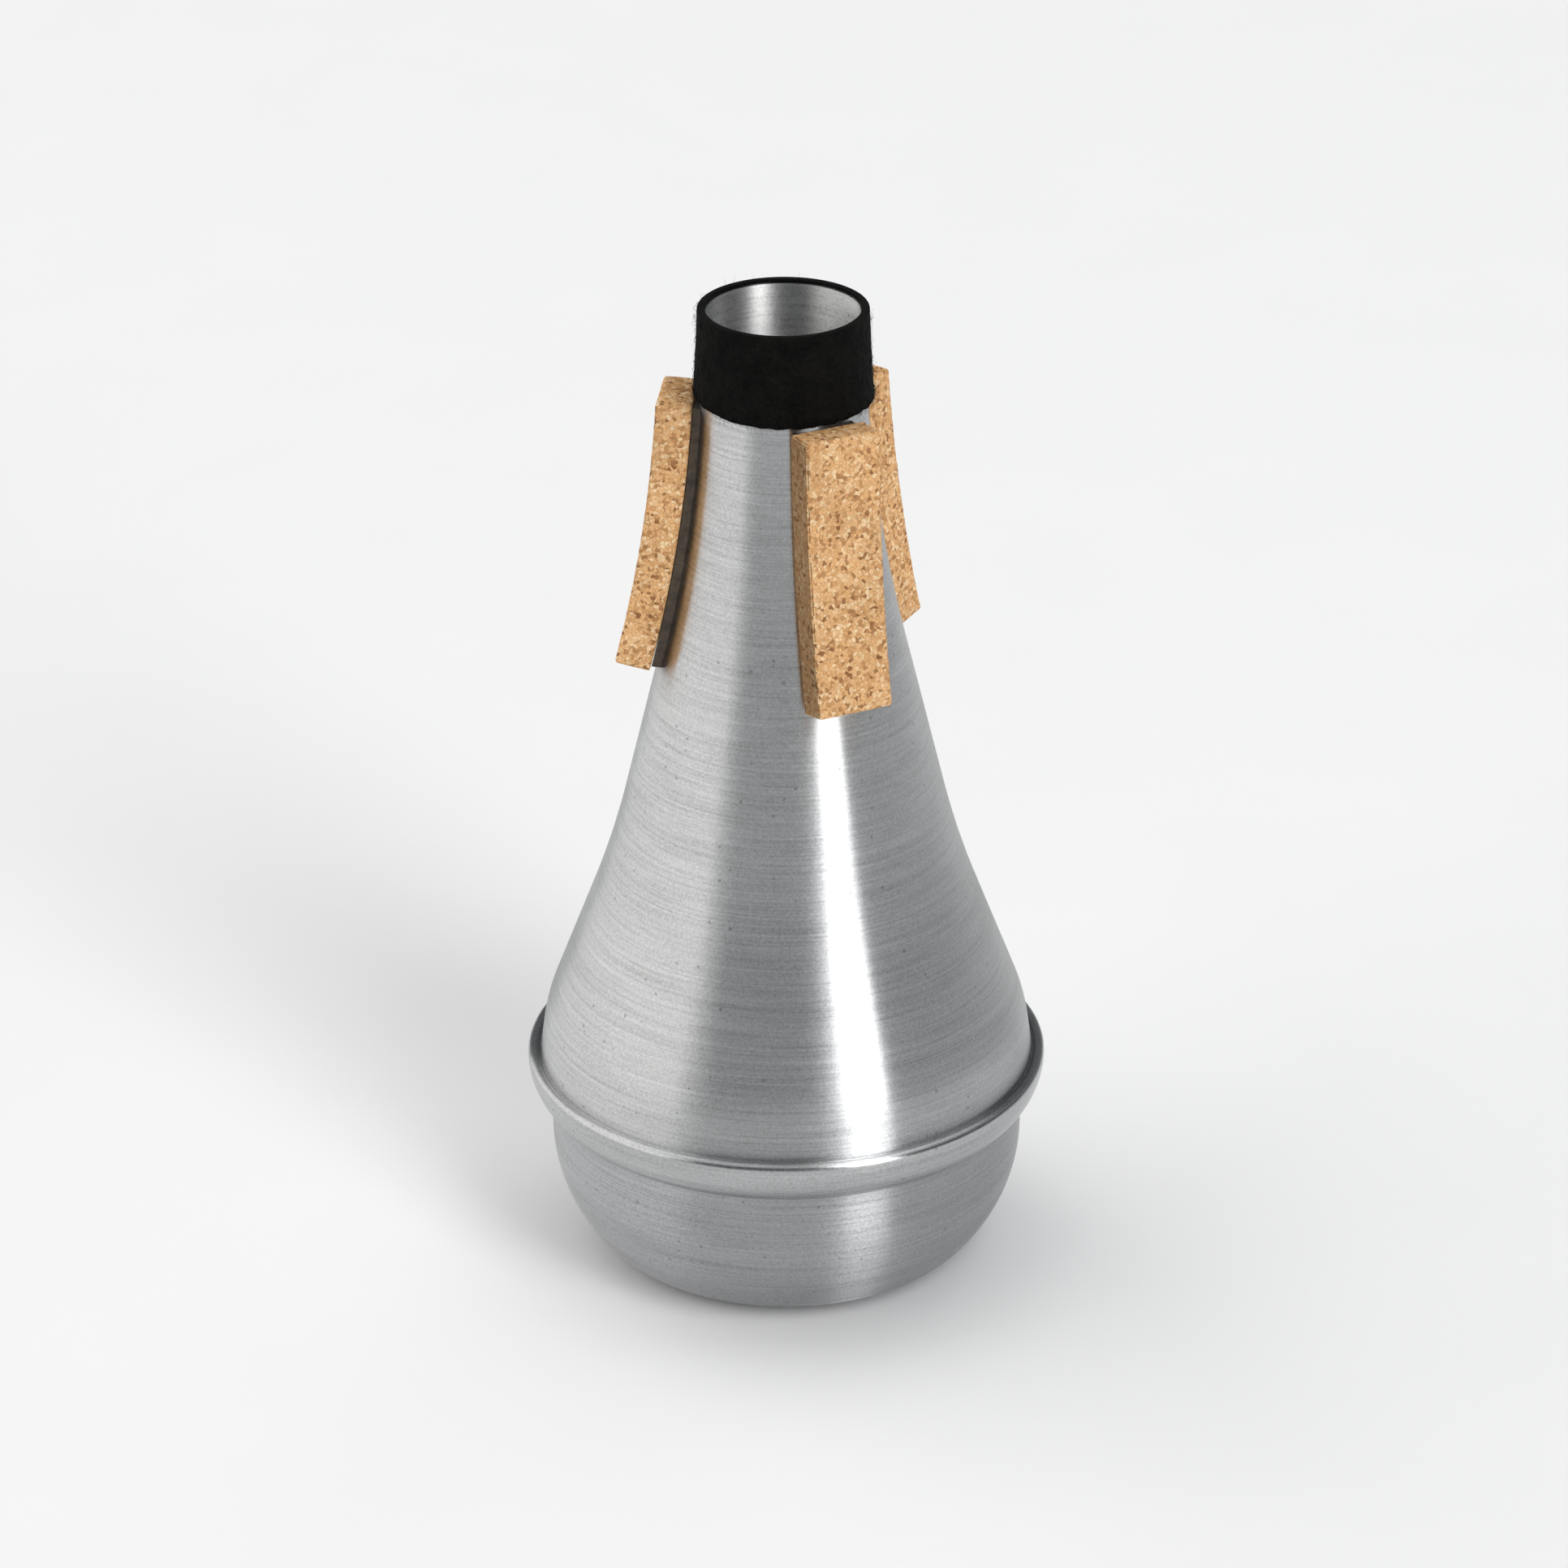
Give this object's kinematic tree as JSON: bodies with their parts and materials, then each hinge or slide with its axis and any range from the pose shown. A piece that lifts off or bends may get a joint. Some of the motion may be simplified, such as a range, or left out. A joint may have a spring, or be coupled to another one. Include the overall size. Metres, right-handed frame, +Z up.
{
  "type": "trumpet practice mute",
  "caption": "Spun aluminium trumpet mute: a flared cone closed by a domed end in a rolled edge, with cork strips up its sides and a felt collar round its open neck.",
  "frame": {"origin": "middle of the flat on the domed end, where the mute stands; bottom centre of the bounding box", "axes": "+Z up the axis of the cone, from the domed end to the open neck; -Y toward the viewer of the picture, +X to the right"},
  "size_m": [0.08, 0.08, 0.1539],
  "materials": {
    "spun_aluminium": "spun and polished, with fine lines round it",
    "cap_aluminium": "spun and polished, with fine lines round it",
    "cork": "agglomerated cork, cut and sanded",
    "cement": "dried contact cement",
    "felt": "black felt, matt and slightly fuzzy"
  },
  "bodies": {
    "root": {"cone_shell": "spun_aluminium", "end_cap": "cap_aluminium", "cork_strip_1": "cork", "cork_strip_2": "cork", "cork_strip_3": "cork", "cement_1": "cement", "cement_2": "cement", "cement_3": "cement", "felt_collar": "felt"}
  },
  "joints": []
}
